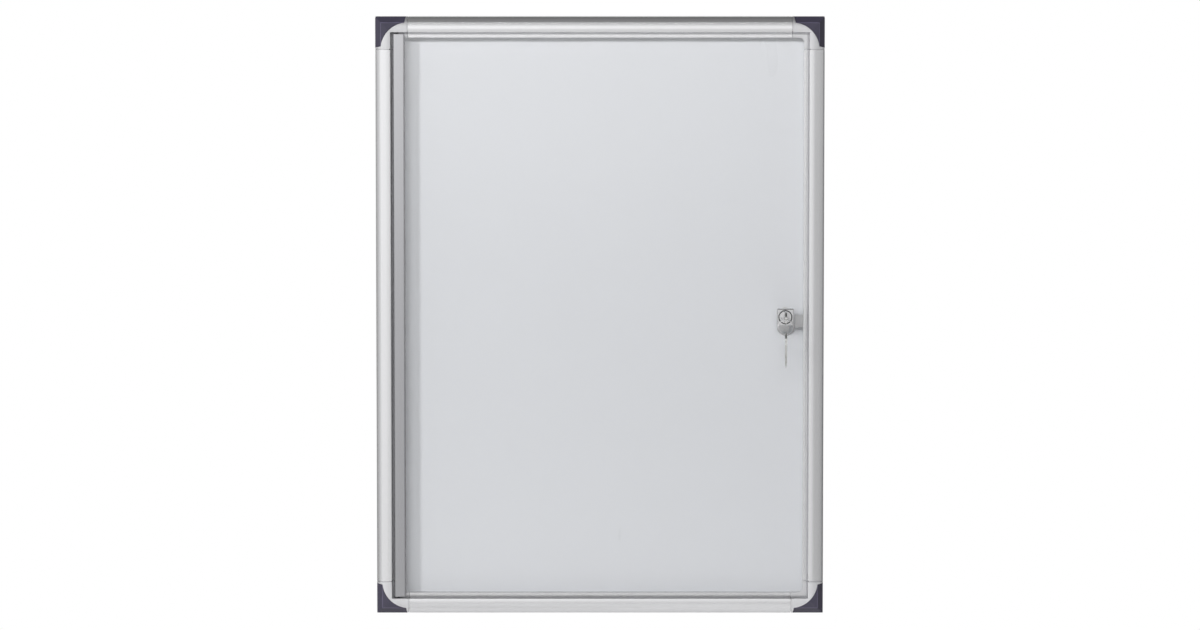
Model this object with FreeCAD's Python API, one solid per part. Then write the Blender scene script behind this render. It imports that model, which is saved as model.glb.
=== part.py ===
import FreeCAD, Part
import math
import os

from FreeCAD import Vector

# Millimetres. X runs to the right, Z runs up and the viewer stands at -Y.
# The origin is the middle of the back, on the wall plane.
# On a section, u is the distance in from the outer edge and v the height above the wall.

# Whole frame
WIDTH = 500.0
HEIGHT = 668.0
DEPTH = 30.0

# How far a cutting shape runs past the face that it opens
PAST = 1.0

# Frame bar: hollow extrusion with a convex face, a recess, a lip and a panel channel
FACE_WIDTH = 17.0
WALL = 1.4
EDGE_ROUND = 7.8
CROWN_TURN = 15.0
CROWN_PEAK = 13.0
ARRIS = 0.7
LIP_DROP = 7.0
LIP_REACH = 6.2
LIP_THICKNESS = 1.6
LIP_DOME = 3.4
LIP_SINK = 1.4
JAW_REACH = 5.4
JAW_THICKNESS = 1.3
FLANGE_REACH = 6.0
FLANGE_THICKNESS = 1.5

# Panel: lacquered sheet, core and backing sheet
SHEET_THICKNESS = 0.6
CORE_THICKNESS = 7.9
BACKING_THICKNESS = 0.5
PANEL_PLAY = 0.1
PANEL_EDGE_PLAY = 0.4

# Moulded corner
ARM = 35.5
BUTT_GAP = 0.8
LEG_LENGTH = 28.0
LEG_PLAY = 0.15
LIP_CORNER_ROUND = 4.5
POCKET_WALL = 2.2
POCKET_ROOF = 8.0

# Snap cap over the corner
CAP_SKIN = 2.0
CAP_SKIRT = 5.0
CAP_BORDER = 1.7
CAP_ARM_WIDTH = 6.1
CAP_FACE_MARGIN = 2.2
CAP_TIP_SLANT = 1.3
CAP_CORNER_ROUND = 1.5
CAP_PLAY = 0.15
CAP_SHOULDER_DROP = 7.4
CAP_BEVEL_INSET = 6.2
CAP_BEVEL_DROP = 1.1
CAP_PEG_FROM_TIP = 6.3
CAP_PEG_INSET = 4.7
CAP_PEG_RADIUS = 1.4
CAP_PEG_LENGTH = 7.0
CAP_PEG_PLAY = 0.1
CAP_PEG_COLUMN = 1.4

# Wall screw hole in each corner
WALL_HOLE_RADIUS = 2.5
WALL_SEAT_RADIUS = 5.0
WALL_SEAT_HEIGHT = 6.0
WALL_SEAT_MARGIN = 1.5

# Countersunk screws between bar and leg
LEG_SCREW_RADIUS = 1.5
LEG_SCREW_HEAD_RADIUS = 2.8
LEG_SCREW_HEAD_HEIGHT = 1.3
LEG_SCREW_LENGTH = 10.0
LEG_SCREW_ALONG = 12.0

# Door
PANE_THICKNESS = 3.0
PANE_REST_GAP = 0.3
PANE_EDGE_GAP = 2.3
DOOR_END_GAP = 2.0
KNUCKLE_RADIUS = 3.2
KNUCKLE_SIDE_GAP = 2.2
KNUCKLE_LIP_GAP = 0.2
HINGE_BAR_FRONT = 3.0
HINGE_BAR_REACH = 10.2
HINGE_BAR_CHAMFER = 1.3
SLOT_PLAY = 0.1
SLOT_FLOOR = 2.9
SLOT_END_PLAY = 0.2
BACK_JAW_THICKNESS = 1.2
BACK_JAW_START = 1.5
BACK_JAW_NOTCH_GAP = 0.5

# Hinge pins and bushes
PIN_RADIUS = 1.25
PIN_IN_BAR = 9.0
PIN_IN_BUSH = 4.4
PIN_PLAY = 0.05
PIN_CHAMFER = 0.4
BUSH_RADIUS = 2.0
BUSH_DEPTH = 5.0
BUSH_FLANGE_RADIUS = 3.0
BUSH_FLANGE_GAP = 0.25

# Lock
LOCK_FROM_EDGE = 24.0
LOCK_Z = 0.0
HEAD_SIDE = 18.4
HEAD_THICKNESS = 9.0
HEAD_CORNER = 1.2
HEAD_BEVEL = 0.7
BARREL_RADIUS = 7.5
BARREL_LENGTH = 9.0
PANE_HOLE_PLAY = 0.2
PLUG_RADIUS = 5.0
PLUG_PLAY = 0.05
PLUG_FACE_RADIUS = 6.7
PLUG_FACE_THICKNESS = 1.5
PLUG_FACE_PLAY = 0.1
PLUG_SQUARE = 6.0
PLUG_REST = 0.05
INDEX_RADIUS = 0.8
WASHER_RADIUS = 9.4
WASHER_THICKNESS = 0.8
NUT_FLATS = 18.6
NUT_THICKNESS = 2.6
CAM_GAP = 0.2
CAM_THICKNESS = 2.0
CAM_HUB_RADIUS = 6.5
CAM_REACH = 18.0
CAM_OUTER_SIDE = 8.5
CAM_INNER_SIDE = 4.5
CAM_TIP_ROUND = 2.0
CAM_SCREW_HEAD_RADIUS = 4.5
CAM_SCREW_HEAD_HEIGHT = 1.6
CAM_SCREW_RADIUS = 1.25
CAM_SCREW_LENGTH = 2.2
CAM_SCREW_SLOT_WIDTH = 0.8
CAM_SCREW_SLOT_DEPTH = 0.8

# Keyway and keys
KEY_LENGTH = 39.0
KEY_THICKNESS = 2.0
BLADE_HEIGHT = 6.6
KEYWAY_PLAY = 0.12
KEYWAY_DEPTH = 16.6
KEY_INSERTION = 16.4
BOW_RADIUS = 8.0
BOW_HOLE_RADIUS = 2.2
BOW_HOLE_INSET = 4.5
NECK_HEIGHT = 9.4
NECK_GAP = 0.3
KEY_TIP = 2.3
BIT_DEPTHS = (1.0, 1.8, 0.8, 1.5)
BIT_PITCH = 2.8
BIT_START = 3.4
BIT_FLAT = 1.0
BIT_SLOPE = 0.6
MILLING_HEIGHT = 1.6
MILLING_DEPTH = 0.5

# Key ring
RING_RADIUS = 8.65
RING_WIRE_RADIUS = 0.65
RING_WIRE_SIDES = 12
RING_PLAY = 0.15

# Strike bracket on the right bar
STRIKE_GAP = 0.6
STRIKE_THICKNESS = 1.8
STRIKE_HEIGHT = 14.0
STRIKE_DROP = 5.8
STRIKE_FLANGE_GAP = 0.4
STRIKE_NUT_GAP = 1.7
STRIKE_BEND = 1.4
STRIKE_SCREW_RADIUS = 1.1
STRIKE_SCREW_HEAD_RADIUS = 1.8
STRIKE_SCREW_HEAD_HEIGHT = 1.2
STRIKE_SCREW_LENGTH = 5.4
STRIKE_SCREW_SPACING = 8.0

# Heights and distances that follow from the sizes above
LIP_FRONT = DEPTH - LIP_DROP
LIP_EDGE = FACE_WIDTH + LIP_REACH
LIP_BACK = LIP_FRONT - LIP_THICKNESS
BACKING_FRONT = FLANGE_THICKNESS + PANEL_PLAY + BACKING_THICKNESS
CORE_FRONT = BACKING_FRONT + CORE_THICKNESS
PANEL_FRONT = CORE_FRONT + SHEET_THICKNESS
JAW_BACK = PANEL_FRONT + PANEL_PLAY
JAW_FRONT = JAW_BACK + JAW_THICKNESS
PANE_BACK = LIP_FRONT + PANE_REST_GAP
PANE_FRONT = PANE_BACK + PANE_THICKNESS
HEAD_FRONT = PANE_FRONT + HEAD_THICKNESS
BARREL_END = PANE_FRONT - BARREL_LENGTH
CAM_FRONT = BARREL_END - CAM_GAP
CAM_BACK = CAM_FRONT - CAM_THICKNESS
HINGE_INSET = FACE_WIDTH + KNUCKLE_SIDE_GAP + KNUCKLE_RADIUS
HINGE_HEIGHT = LIP_FRONT + KNUCKLE_LIP_GAP + KNUCKLE_RADIUS
HINGE_X = -WIDTH / 2 + HINGE_INSET
HINGE_BAR_HALF = HEIGHT / 2 - FACE_WIDTH - DOOR_END_GAP
PANE_LEFT = HINGE_X + SLOT_FLOOR + SLOT_END_PLAY
PANE_RIGHT = WIDTH / 2 - FACE_WIDTH - PANE_EDGE_GAP
LOCK_X = PANE_RIGHT - LOCK_FROM_EDGE
WALL_HOLE_INSET = FACE_WIDTH - WALL_SEAT_MARGIN - WALL_SEAT_RADIUS
LEG_SCREW_INSET = FACE_WIDTH / 2
CAP_END = ARM - CAP_BORDER
CAP_TIP = CAP_END - CAP_TIP_SLANT
CAP_PEG_ALONG = CAP_END - CAP_PEG_FROM_TIP
CAP_ROOF = DEPTH - CAP_BEVEL_DROP - CAP_SKIN
CAP_PEG_END = CAP_ROOF - CAP_PEG_LENGTH
BOW_HOLE_HEIGHT = HEAD_FRONT + KEY_LENGTH - KEY_INSERTION - BOW_HOLE_INSET
RING_HANG = BOW_HOLE_RADIUS - RING_WIRE_RADIUS - RING_PLAY
RING_Z = LOCK_Z - RING_HANG - RING_RADIUS
SPARE_HOLE_Z = RING_Z - RING_RADIUS - RING_HANG
STRIKE_FRONT = CAM_FRONT + STRIKE_GAP + STRIKE_THICKNESS
STRIKE_Z = LOCK_Z - STRIKE_DROP

# Circle through the cap's two tips and the middle of its inner edge
CAP_MIDDLE = FACE_WIDTH - CAP_FACE_MARGIN
CAP_CENTRE = (
    (CAP_TIP ** 2 + CAP_ARM_WIDTH ** 2 - 2 * CAP_MIDDLE ** 2)
    / (2 * (CAP_TIP + CAP_ARM_WIDTH - 2 * CAP_MIDDLE))
)
CAP_SWEEP = (CAP_CENTRE - CAP_MIDDLE) * math.sqrt(2)

# Each side of the frame is the top one turned about the Y axis
SIDES = {"top": 0, "right": 90, "bottom": 180, "left": 270}
CORNERS = {"top_left": 0, "top_right": 90, "bottom_right": 180, "bottom_left": 270}
Y_AXIS = Vector(0, 1, 0)
ORIGIN = Vector(0, 0, 0)


def line(start, end):
    return Part.LineSegment(start, end).toShape()


def arc(start, middle, end):
    return Part.Arc(start, middle, end).toShape()


def face_of(edges):
    return Part.Face(Part.Wire(Part.__sortEdges__(edges)))


def polygon(points):
    return Part.Face(Part.makePolygon(points + points[:1]))


def on_section(u, v):
    return Vector(0, -v, -u)


def on_plan(x, depth):
    return Vector(x, 0, -depth)


def between(face, low, high):
    """Extrudes a face drawn on the wall plane from height low to height high."""
    moved = face.translated(Vector(0, -low, 0))
    return moved.extrude(Vector(0, low - high, 0))


def disc(radius, x, z, low, high):
    """A round solid square to the wall, from height low to height high."""
    return Part.makeCylinder(radius, high - low, Vector(x, -low, z), Vector(0, -1, 0))


def block(x_low, x_high, low, high, z_low, z_high):
    """A box given by its X range, its heights above the wall and its Z range."""
    corner = Vector(x_low, -high, z_low)
    return Part.makeBox(x_high - x_low, high - low, z_high - z_low, corner)


def turned(shape, angle):
    return shape.rotated(ORIGIN, Y_AXIS, angle)


# Sections of the frame

def crown_edges(inset, u_end):
    """Convex face of the bar, inset from its surface: a round edge and then a shallow crown."""
    turn = math.radians(CROWN_TURN)
    crown_radius = (CROWN_PEAK - EDGE_ROUND * (1 - math.sin(turn))) / math.sin(turn)
    shoulder = DEPTH - crown_radius * (1 - math.cos(turn)) - EDGE_ROUND * math.cos(turn)

    def on_round(angle):
        reach = EDGE_ROUND - inset
        return on_section(EDGE_ROUND - reach * math.cos(angle), shoulder + reach * math.sin(angle))

    def on_crown(angle):
        reach = crown_radius - inset
        height = DEPTH - crown_radius + reach * math.cos(angle)
        return on_section(CROWN_PEAK + reach * math.sin(angle), height)

    quarter = math.pi / 2 - turn
    end_angle = math.asin((u_end - CROWN_PEAK) / (crown_radius - inset))
    edges = [
        arc(on_round(0), on_round(quarter / 2), on_round(quarter)),
        arc(on_crown(-turn), on_crown((end_angle - turn) / 2), on_crown(end_angle)),
    ]
    return on_round(0), edges, on_crown(end_angle)


def bar_outline():
    """Outer outline of the bar's section, closed, with its lip, jaw and rear flange."""
    side_top, edges, crown_end = crown_edges(0, FACE_WIDTH - ARRIS)
    arris_height = -crown_end.y - ARRIS
    diagonal = ARRIS * math.sqrt(0.5)
    nose = LIP_THICKNESS / 2
    jaw_edge = FACE_WIDTH + JAW_REACH
    flange_edge = FACE_WIDTH + FLANGE_REACH
    dome_end = FACE_WIDTH + LIP_DOME
    path = [
        (LIP_EDGE - nose, LIP_BACK),
        (dome_end, LIP_BACK),
        (FACE_WIDTH, LIP_BACK - LIP_SINK),
        (FACE_WIDTH, JAW_FRONT),
        (jaw_edge, JAW_FRONT),
        (jaw_edge, JAW_BACK),
        (FACE_WIDTH, JAW_BACK),
        (FACE_WIDTH, FLANGE_THICKNESS),
        (flange_edge, FLANGE_THICKNESS),
        (flange_edge, 0),
        (0, 0),
    ]
    points = [on_section(u, v) for u, v in path] + [side_top]
    edges.append(arc(
        crown_end,
        on_section(FACE_WIDTH - ARRIS + diagonal, arris_height + diagonal),
        on_section(FACE_WIDTH, arris_height),
    ))
    root = on_section(FACE_WIDTH, LIP_FRONT - LIP_SINK)
    edges.append(line(on_section(FACE_WIDTH, arris_height), root))
    edges.append(arc(root, dome_point(0.5), dome_point(0)))
    edges.append(line(dome_point(0), on_section(LIP_EDGE - nose, LIP_FRONT)))
    edges.append(arc(
        on_section(LIP_EDGE - nose, LIP_FRONT),
        on_section(LIP_EDGE, LIP_FRONT - nose),
        points[0],
    ))
    edges += [line(a, b) for a, b in zip(points, points[1:])]
    return face_of(edges)


def dome_point(share):
    """Point on the lip's dome, from its level end at 0 to its sunken root at 1."""
    radius = (LIP_DOME ** 2 + LIP_SINK ** 2) / (2 * LIP_SINK)
    angle = share * math.asin(LIP_DOME / radius)
    u = FACE_WIDTH + LIP_DOME - radius * math.sin(angle)
    return on_section(u, LIP_FRONT - radius * (1 - math.cos(angle)))


def chamber_outline(inset):
    """Outline of the hollow in the bar, or of a leg in it, inset from the bar's outer surface."""
    u_end = FACE_WIDTH - inset
    side_top, edges, crown_end = crown_edges(inset, u_end)
    floor = [crown_end, on_section(u_end, inset), on_section(inset, inset), side_top]
    return face_of(edges + [line(a, b) for a, b in zip(floor, floor[1:])])


# Frame bars

def make_bar(side):
    """One frame bar, drawn at the top and turned to its side."""
    across = WIDTH if side in ("top", "bottom") else HEIGHT
    up = HEIGHT if side in ("top", "bottom") else WIDTH
    length = across - 2 * (ARM + BUTT_GAP)
    section = bar_outline().cut(chamber_outline(WALL))
    bar = section.extrude(Vector(length, 0, 0)).translated(Vector(-length / 2, 0, 0))
    for sign in (-1, 1):
        x = sign * (length / 2 - LEG_SCREW_ALONG)
        bar = bar.cut(leg_screw().translated(Vector(x, 0, 0)))
    bar = turned(bar.translated(Vector(0, 0, up / 2)), SIDES[side])
    if side == "right":
        for screw in strike_screw_list():
            bar = bar.cut(screw)
    return bar


def leg_screw():
    """Countersunk screw up from the wall plane, at the top bar's inset and x = 0."""
    head = Part.makeCone(
        LEG_SCREW_HEAD_RADIUS, LEG_SCREW_RADIUS, LEG_SCREW_HEAD_HEIGHT,
        Vector(0, 0, -LEG_SCREW_INSET), Vector(0, -1, 0),
    )
    shank = disc(LEG_SCREW_RADIUS, 0, -LEG_SCREW_INSET, LEG_SCREW_HEAD_HEIGHT, LEG_SCREW_LENGTH)
    return head.fuse(shank).removeSplitter()


# Moulded corners and their caps, drawn with the outer corner at the origin, arms along +X and -Z

def mitred(section, length):
    """A section run along both arms of the corner and mitred on the diagonal."""
    far = 2 * length
    wedge = between(polygon([on_plan(0, 0), on_plan(far, 0), on_plan(far, far)]), -far, far)
    arm = section.extrude(Vector(length, 0, 0)).common(wedge)
    return arm.fuse(mirrored_arm(arm)).removeSplitter()


def mirrored_arm(shape):
    """The same shape on the other arm of the corner."""
    return shape.mirror(ORIGIN, Vector(1, 0, 1))


def cap_plan(play):
    """Plan of the cap: the corner's square outside a quarter circle, grown by the play."""
    end = CAP_END + play
    tip = CAP_TIP + play
    radius = CAP_SWEEP - play
    near = CAP_CENTRE - math.sqrt(radius ** 2 - (CAP_CENTRE - tip) ** 2)
    middle = CAP_CENTRE - radius * math.sqrt(0.5)
    rounded = CAP_CORNER_ROUND - play
    on_round = rounded - CAP_CORNER_ROUND * math.sqrt(0.5)
    edges = [
        line(on_plan(near, tip), on_plan(-play, end)),
        line(on_plan(-play, end), on_plan(-play, rounded)),
        arc(on_plan(-play, rounded), on_plan(on_round, on_round), on_plan(rounded, -play)),
        line(on_plan(rounded, -play), on_plan(end, -play)),
        line(on_plan(end, -play), on_plan(tip, near)),
        arc(on_plan(tip, near), on_plan(middle, middle), on_plan(near, tip)),
    ]
    return face_of(edges)


def cap_block(inset):
    """Solid under the cap's bevelled outer surface, inset from it."""
    slope = math.atan2(CAP_SHOULDER_DROP - CAP_BEVEL_DROP, CAP_BEVEL_INSET)
    crest = math.atan2(CAP_BEVEL_DROP, CROWN_PEAK - CAP_BEVEL_INSET)
    side_rise = inset * math.tan((math.pi / 2 - slope) / 2)
    bend = inset * math.tan((slope - crest) / 2)
    top_bend = inset * math.tan(crest / 2)
    points = [
        (inset, -PAST),
        (inset, DEPTH - CAP_SHOULDER_DROP - side_rise),
        (CAP_BEVEL_INSET + inset * math.sin(crest) + bend * math.cos(crest),
         DEPTH - CAP_BEVEL_DROP - inset * math.cos(crest) + bend * math.sin(crest)),
        (CROWN_PEAK + top_bend, DEPTH - inset),
        (ARM, DEPTH - inset),
        (ARM, -PAST),
    ]
    return mitred(polygon([on_section(u, v) for u, v in points]), ARM)


def cap_pegs(play, end_play):
    """Snap pegs of the cap, or with play the holes for them."""
    low = CAP_PEG_END - end_play
    peg = disc(CAP_PEG_RADIUS + play, CAP_PEG_ALONG, -CAP_PEG_INSET, low, CAP_ROOF)
    return [peg, mirrored_arm(peg)]


def make_cap():
    """Shell over the outer corner, with a skirt down the sides and two snap pegs."""
    skin = cap_block(0).cut(cap_block(CAP_SKIN))
    cap = between(cap_plan(0), CAP_SKIRT, DEPTH + PAST).common(skin)
    inside = cap_block(CAP_SKIN / 2)
    for peg in cap_pegs(0, 0):
        cap = cap.fuse(peg.common(inside))
    return cap.removeSplitter()


def lip_corner():
    """Fillet that rounds the opening in the lip at the corner."""
    low = LIP_EDGE - LIP_THICKNESS / 2
    end = LIP_EDGE + LIP_CORNER_ROUND
    middle = end - LIP_CORNER_ROUND * math.sqrt(0.5)
    path = [(LIP_EDGE, end), (low, end), (low, low), (end, low), (end, LIP_EDGE)]
    points = [on_plan(x, depth) for x, depth in path]
    edges = [line(a, b) for a, b in zip(points, points[1:])]
    edges.append(arc(points[-1], on_plan(middle, middle), points[0]))
    return between(face_of(edges), LIP_BACK, LIP_FRONT)


def make_corner(place):
    """Moulded corner with two legs, the rebate for its cap and the wall screw hole."""
    corner = mitred(bar_outline(), ARM).fuse(lip_corner())
    leg = chamber_outline(WALL + LEG_PLAY).extrude(Vector(LEG_LENGTH + POCKET_WALL, 0, 0))
    leg = leg.translated(Vector(ARM - POCKET_WALL, 0, 0))
    leg = leg.cut(leg_screw().translated(Vector(ARM + BUTT_GAP + LEG_SCREW_ALONG, 0, 0)))
    corner = corner.fuse([leg, mirrored_arm(leg)]).removeSplitter()
    rebate = between(cap_plan(CAP_PLAY), CAP_SKIRT - CAP_PLAY, DEPTH + PAST)
    corner = corner.cut(rebate.cut(cap_block(CAP_SKIN + CAP_PLAY)))
    pocket = corner_pocket()
    corner = corner.cut(cap_pegs(CAP_PEG_PLAY, CAP_PLAY) + [pocket, mirrored_arm(pocket)])
    corner = corner.cut([
        disc(WALL_HOLE_RADIUS, WALL_HOLE_INSET, -WALL_HOLE_INSET, -PAST, DEPTH),
        disc(WALL_SEAT_RADIUS, WALL_HOLE_INSET, -WALL_HOLE_INSET, WALL_SEAT_HEIGHT, DEPTH + PAST),
    ])
    if place.endswith("left"):
        hole = bush_hole()
        corner = corner.cut(hole if place == "top_left" else mirrored_arm(hole))
    return corner


def corner_pocket():
    """Hollow in the back of one arm, which leaves a column round the peg hole."""
    pocket_start = WALL_HOLE_INSET + WALL_SEAT_RADIUS + POCKET_WALL
    pocket = block(
        pocket_start, ARM - POCKET_WALL, -PAST, DEPTH - POCKET_ROOF,
        -(FACE_WIDTH - POCKET_WALL), -(CAP_SKIN + POCKET_WALL),
    )
    half = CAP_PEG_RADIUS + CAP_PEG_COLUMN
    column = block(
        CAP_PEG_ALONG - half, CAP_PEG_ALONG + half, -2 * PAST, DEPTH, -(CAP_PEG_INSET + half), 0,
    )
    return pocket.cut(column)


def bush_hole():
    """Hole in the recess wall of the top left corner that takes the hinge bush."""
    start = Vector(HINGE_INSET, -HINGE_HEIGHT, -FACE_WIDTH)
    return Part.makeCylinder(BUSH_RADIUS, BUSH_DEPTH, start, Vector(0, 0, 1))


def at_corner(shape, place):
    """Moves a shape drawn at the corner's own origin to its corner of the frame."""
    x = WIDTH / 2 if place.endswith("right") else -WIDTH / 2
    z = HEIGHT / 2 if place.startswith("top") else -HEIGHT / 2
    return turned(shape, CORNERS[place]).translated(Vector(x, 0, z))


def make_leg_screws():
    """Two screws at each corner, one for each leg."""
    along = ARM + BUTT_GAP + LEG_SCREW_ALONG
    screw = leg_screw().translated(Vector(along, 0, 0))
    screws = []
    for place in CORNERS:
        screws.append(at_corner(screw, place))
        screws.append(at_corner(mirrored_arm(screw), place))
    return Part.makeCompound(screws)


# Panel

def make_panel(low, high):
    """One layer of the panel, held in the channel on all four sides."""
    half_x = WIDTH / 2 - FACE_WIDTH - PANEL_EDGE_PLAY
    half_z = HEIGHT / 2 - FACE_WIDTH - PANEL_EDGE_PLAY
    return block(-half_x, half_x, low, high, -half_z, half_z)


# Door and its hinge

def make_hinge_bar():
    """Extrusion with a round knuckle edge about the hinge axis and the slot for the pane."""
    def point(across, front):
        return Vector(HINGE_X + across, -(HINGE_HEIGHT + front), 0)

    slot_front = PANE_FRONT + SLOT_PLAY - HINGE_HEIGHT
    slot_back = PANE_BACK - SLOT_PLAY - HINGE_HEIGHT
    jaw_back = slot_back - BACK_JAW_THICKNESS
    knuckle_front = math.sqrt(KNUCKLE_RADIUS ** 2 - HINGE_BAR_FRONT ** 2)
    knuckle_back = math.sqrt(KNUCKLE_RADIUS ** 2 - BACK_JAW_START ** 2)
    path = [
        (-knuckle_front, HINGE_BAR_FRONT),
        (HINGE_BAR_REACH - HINGE_BAR_CHAMFER, HINGE_BAR_FRONT),
        (HINGE_BAR_REACH, HINGE_BAR_FRONT - HINGE_BAR_CHAMFER),
        (HINGE_BAR_REACH, slot_front),
        (SLOT_FLOOR, slot_front),
        (SLOT_FLOOR, slot_back),
        (HINGE_BAR_REACH, slot_back),
        (HINGE_BAR_REACH, jaw_back),
        (BACK_JAW_START, jaw_back),
        (BACK_JAW_START, -knuckle_back),
    ]
    points = [point(across, front) for across, front in path]
    edges = [line(a, b) for a, b in zip(points, points[1:])]
    diagonal = KNUCKLE_RADIUS * math.sqrt(0.5)
    edges.append(arc(points[-1], point(-diagonal, -diagonal), points[0]))
    section = face_of(edges).translated(Vector(0, 0, -HINGE_BAR_HALF))
    bar = section.extrude(Vector(0, 0, 2 * HINGE_BAR_HALF))
    notch_start = HEIGHT / 2 - LIP_EDGE - LIP_CORNER_ROUND - BACK_JAW_NOTCH_GAP
    notch_right = HINGE_X + HINGE_BAR_REACH + PAST
    notch_back = HINGE_HEIGHT + jaw_back - PAST
    notch_end = HINGE_BAR_HALF + PAST
    notch = block(HINGE_X, notch_right, notch_back, HINGE_HEIGHT - knuckle_back, notch_start, notch_end)
    under_pane = block(HINGE_X + SLOT_FLOOR, notch_right, notch_back, PANE_BACK, notch_start, notch_end)
    notch = notch.fuse(under_pane)
    bar = bar.cut([notch, notch.mirror(ORIGIN, Vector(0, 0, 1))])
    port_start = Vector(HINGE_X, -HINGE_HEIGHT, -HINGE_BAR_HALF)
    return bar.cut(Part.makeCylinder(PIN_RADIUS, 2 * HINGE_BAR_HALF, port_start))


def make_pane():
    """Clear sheet in the slot of the hinge bar, with the hole for the lock."""
    pane = block(PANE_LEFT, PANE_RIGHT, PANE_BACK, PANE_FRONT, -HINGE_BAR_HALF, HINGE_BAR_HALF)
    hole_radius = BARREL_RADIUS + PANE_HOLE_PLAY
    return pane.cut(disc(hole_radius, LOCK_X, LOCK_Z, PANE_BACK - PAST, PANE_FRONT + PAST))


def make_pin(sign):
    """Pin in one end of the hinge bar, chamfered where it enters the bush."""
    length = PIN_IN_BAR + DOOR_END_GAP + PIN_IN_BUSH
    pin = Part.makeCylinder(PIN_RADIUS, length)
    tip = [edge for edge in pin.Edges if edge.BoundBox.ZMin > length - PIN_RADIUS]
    pin = pin.makeChamfer(PIN_CHAMFER, tip)
    pin = pin.translated(Vector(0, 0, HINGE_BAR_HALF - PIN_IN_BAR))
    if sign < 0:
        pin = pin.rotated(ORIGIN, Vector(1, 0, 0), 180)
    return pin.translated(Vector(HINGE_X, -HINGE_HEIGHT, 0))


def make_bush(sign):
    """Flanged bush in the recess wall of a left corner."""
    wall = HEIGHT / 2 - FACE_WIDTH
    flange_start = HINGE_BAR_HALF + BUSH_FLANGE_GAP
    bush = Part.makeCylinder(BUSH_RADIUS, BUSH_DEPTH, Vector(0, 0, wall))
    flange = Part.makeCylinder(BUSH_FLANGE_RADIUS, wall - flange_start, Vector(0, 0, flange_start))
    bore = Part.makeCylinder(PIN_RADIUS + PIN_PLAY, BUSH_DEPTH + DOOR_END_GAP, Vector(0, 0, flange_start))
    bush = bush.fuse(flange).removeSplitter().cut(bore)
    if sign < 0:
        bush = bush.rotated(ORIGIN, Vector(1, 0, 0), 180)
    return bush.translated(Vector(HINGE_X, -HINGE_HEIGHT, 0))


# Lock

def make_lock_housing():
    """Square head in front of the pane and the barrel through it."""
    half = HEAD_SIDE / 2
    head = block(LOCK_X - half, LOCK_X + half, PANE_FRONT, HEAD_FRONT, LOCK_Z - half, LOCK_Z + half)
    upright = [edge for edge in head.Edges if edge.BoundBox.YLength > HEAD_THICKNESS / 2]
    head = head.makeFillet(HEAD_CORNER, upright)
    rim = [edge for edge in head.Edges if edge.BoundBox.YMax < -HEAD_FRONT + HEAD_BEVEL / 2]
    head = head.makeChamfer(HEAD_BEVEL, rim)
    housing = head.fuse(disc(BARREL_RADIUS, LOCK_X, LOCK_Z, BARREL_END, PANE_FRONT))
    recess = PLUG_FACE_THICKNESS + PLUG_REST
    rim_radius = PLUG_FACE_RADIUS + PLUG_FACE_PLAY
    housing = housing.cut([
        disc(PLUG_RADIUS + PLUG_PLAY, LOCK_X, LOCK_Z, BARREL_END - PAST, HEAD_FRONT + PAST),
        disc(rim_radius, LOCK_X, LOCK_Z, HEAD_FRONT - recess, HEAD_FRONT + PAST),
        disc(INDEX_RADIUS, LOCK_X, LOCK_Z + rim_radius, HEAD_FRONT - recess / 2, HEAD_FRONT + PAST),
    ])
    return housing.removeSplitter()


def make_plug():
    """Turning cylinder with the keyway, and a square end for the cam."""
    face_back = HEAD_FRONT - PLUG_FACE_THICKNESS
    half = PLUG_SQUARE / 2
    plug = disc(PLUG_RADIUS, LOCK_X, LOCK_Z, CAM_FRONT, face_back)
    plug = plug.fuse([
        disc(PLUG_FACE_RADIUS, LOCK_X, LOCK_Z, face_back, HEAD_FRONT),
        block(LOCK_X - half, LOCK_X + half, CAM_BACK, CAM_FRONT, LOCK_Z - half, LOCK_Z + half),
    ]).removeSplitter()
    slot_x = KEY_THICKNESS / 2 + KEYWAY_PLAY
    slot_z = BLADE_HEIGHT / 2 + KEYWAY_PLAY
    keyway = block(
        LOCK_X - slot_x, LOCK_X + slot_x, HEAD_FRONT - KEYWAY_DEPTH, HEAD_FRONT + PAST,
        LOCK_Z - slot_z, LOCK_Z + slot_z,
    )
    thread = disc(CAM_SCREW_RADIUS, LOCK_X, LOCK_Z, CAM_BACK - PAST, CAM_BACK + CAM_SCREW_LENGTH)
    return plug.cut([keyway, thread])


def make_washer():
    low = PANE_BACK - WASHER_THICKNESS
    outer = disc(WASHER_RADIUS, LOCK_X, LOCK_Z, low, PANE_BACK)
    bore_radius = BARREL_RADIUS + PANE_HOLE_PLAY / 2
    return outer.cut(disc(bore_radius, LOCK_X, LOCK_Z, low - PAST, PANE_BACK + PAST))


def make_nut():
    """Hexagon nut with a flat to the right, clear of the strike bracket."""
    high = PANE_BACK - WASHER_THICKNESS
    reach = NUT_FLATS / math.sqrt(3)
    points = []
    for k in range(6):
        angle = math.radians(30 + 60 * k)
        points.append(Vector(LOCK_X + reach * math.cos(angle), 0, LOCK_Z + reach * math.sin(angle)))
    low = high - NUT_THICKNESS
    nut = between(polygon(points), low, high)
    return nut.cut(disc(BARREL_RADIUS, LOCK_X, LOCK_Z, low - PAST, high + PAST))


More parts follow.
